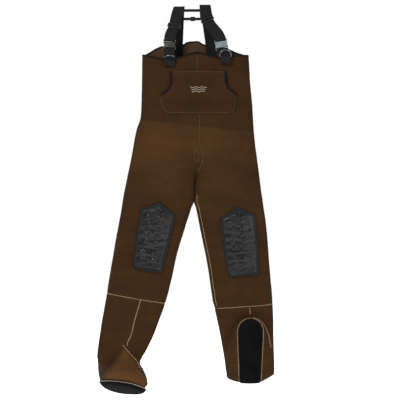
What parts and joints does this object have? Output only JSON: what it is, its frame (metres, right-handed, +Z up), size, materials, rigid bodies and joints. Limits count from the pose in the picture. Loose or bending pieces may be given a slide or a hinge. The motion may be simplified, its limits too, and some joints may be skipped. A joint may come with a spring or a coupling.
{
  "type": "chest waders",
  "caption": "Chest-high waders with webbing shoulder straps, quick-release buckles, a chest pocket, rubber knee pads and sewn-in stocking feet with soles.",
  "frame": {"origin": "top of the shoulder straps, where the waders hang over a rail", "axes": "+Z up along the hanging waders; the front of the waders faces -Y; +X is the wearer's left"},
  "size_m": [0.7083, 0.2388, 1.565],
  "materials": {
    "neoprene": "soft knit face, matte",
    "binding": "folded tape, matte",
    "webbing": "woven ribs, matte",
    "knee_rubber": "embossed, satin",
    "sole_rubber": "fine stipple, matte",
    "buckle_dark": "gloss",
    "buckle_light": "gloss",
    "adjuster_plastic": "satin",
    "slider_plastic": "satin",
    "ring_metal": "bead-blasted"
  },
  "bodies": {
    "waders": {"right_body_panel": "neoprene", "left_body_panel": "neoprene", "top_binding": "binding", "pocket_panel": "neoprene", "right_pocket_binding": "binding", "left_pocket_binding": "binding", "crotch_gusset": "neoprene", "right_knee_pad": "knee_rubber", "left_knee_pad": "knee_rubber", "right_back_strap": "webbing", "left_back_strap": "webbing", "right_buckle_webbing": "webbing", "left_buckle_webbing": "webbing", "right_strap_tab": "webbing", "left_strap_tab": "webbing", "right_female_buckle": "buckle_dark", "left_female_buckle": "buckle_light", "cross_strap": "webbing"},
    "right_strap_end": {"right_front_strap": "webbing", "right_strap_loop": "webbing", "right_male_buckle": "buckle_dark"},
    "left_strap_end": {"left_front_strap": "webbing", "left_strap_loop": "webbing", "left_male_buckle": "buckle_light"},
    "right_adjuster_slide_body": {"right_adjuster": "adjuster_plastic"},
    "left_adjuster_slide_body": {"left_adjuster": "adjuster_plastic"},
    "right_ring_body": {"right_d_ring": "ring_metal"},
    "left_ring_body": {"left_d_ring": "ring_metal"},
    "cross_slider_body": {"cross_strap_slider": "slider_plastic"},
    "right_shin": {"right_shin_panel": "neoprene", "right_bootie_shaft": "neoprene"},
    "left_shin": {"left_shin_panel": "neoprene", "left_bootie_shaft": "neoprene"},
    "right_foot": {"right_bootie_foot": "neoprene", "right_sole": "sole_rubber"},
    "left_foot": {"left_bootie_foot": "neoprene", "left_sole": "sole_rubber"}
  },
  "joints": [
    {"name": "right_buckle_release", "type": "slide", "parent": "waders", "child": "right_strap_end", "axis": [0.0175, 0.2287, 0.9733], "range_m": [0, 0.03]},
    {"name": "left_buckle_release", "type": "slide", "parent": "waders", "child": "left_strap_end", "axis": [-0.1564, 0.2259, 0.9615], "range_m": [0, 0.03]},
    {"name": "right_adjuster_slide", "type": "slide", "parent": "right_strap_end", "child": "right_adjuster_slide_body", "axis": [0.2079, 0.2238, 0.9522], "range_m": [0, 0.045]},
    {"name": "left_adjuster_slide", "type": "slide", "parent": "left_strap_end", "child": "left_adjuster_slide_body", "axis": [-0.515, 0.1961, 0.8344], "range_m": [-0.025, 0]},
    {"name": "right_d_ring_swing", "type": "hinge", "parent": "waders", "child": "right_ring_body", "pos_m": [-0.104, -0.0598, -0.224], "axis": [1, 0, 0], "range_deg": [-45, 70]},
    {"name": "left_d_ring_swing", "type": "hinge", "parent": "waders", "child": "left_ring_body", "pos_m": [0.1165, -0.0598, -0.2135], "axis": [1, 0, 0], "range_deg": [0, 118]},
    {"name": "cross_slider_slide", "type": "slide", "parent": "waders", "child": "cross_slider_body", "axis": [1, 0, 0], "range_m": [-0.015, 0.015]},
    {"name": "right_knee", "type": "hinge", "parent": "waders", "child": "right_shin", "pos_m": [-0.19108, 0, -0.94], "axis": [0.9889, 0, -0.1483], "range_deg": [0, 75]},
    {"name": "left_knee", "type": "hinge", "parent": "waders", "child": "left_shin", "pos_m": [0.15638, 0, -0.94], "axis": [0.995, 0, 0.0995], "range_deg": [0, 75]},
    {"name": "right_ankle", "type": "hinge", "parent": "right_shin", "child": "right_foot", "pos_m": [-0.23571, -0.02395, -1.415], "axis": [-0.8191, -0.5736, 0], "range_deg": [0, 25]},
    {"name": "left_ankle", "type": "hinge", "parent": "left_shin", "child": "left_foot", "pos_m": [0.213, 0, -1.459], "axis": [1, 0, 0], "range_deg": [0, 75]}
  ]
}
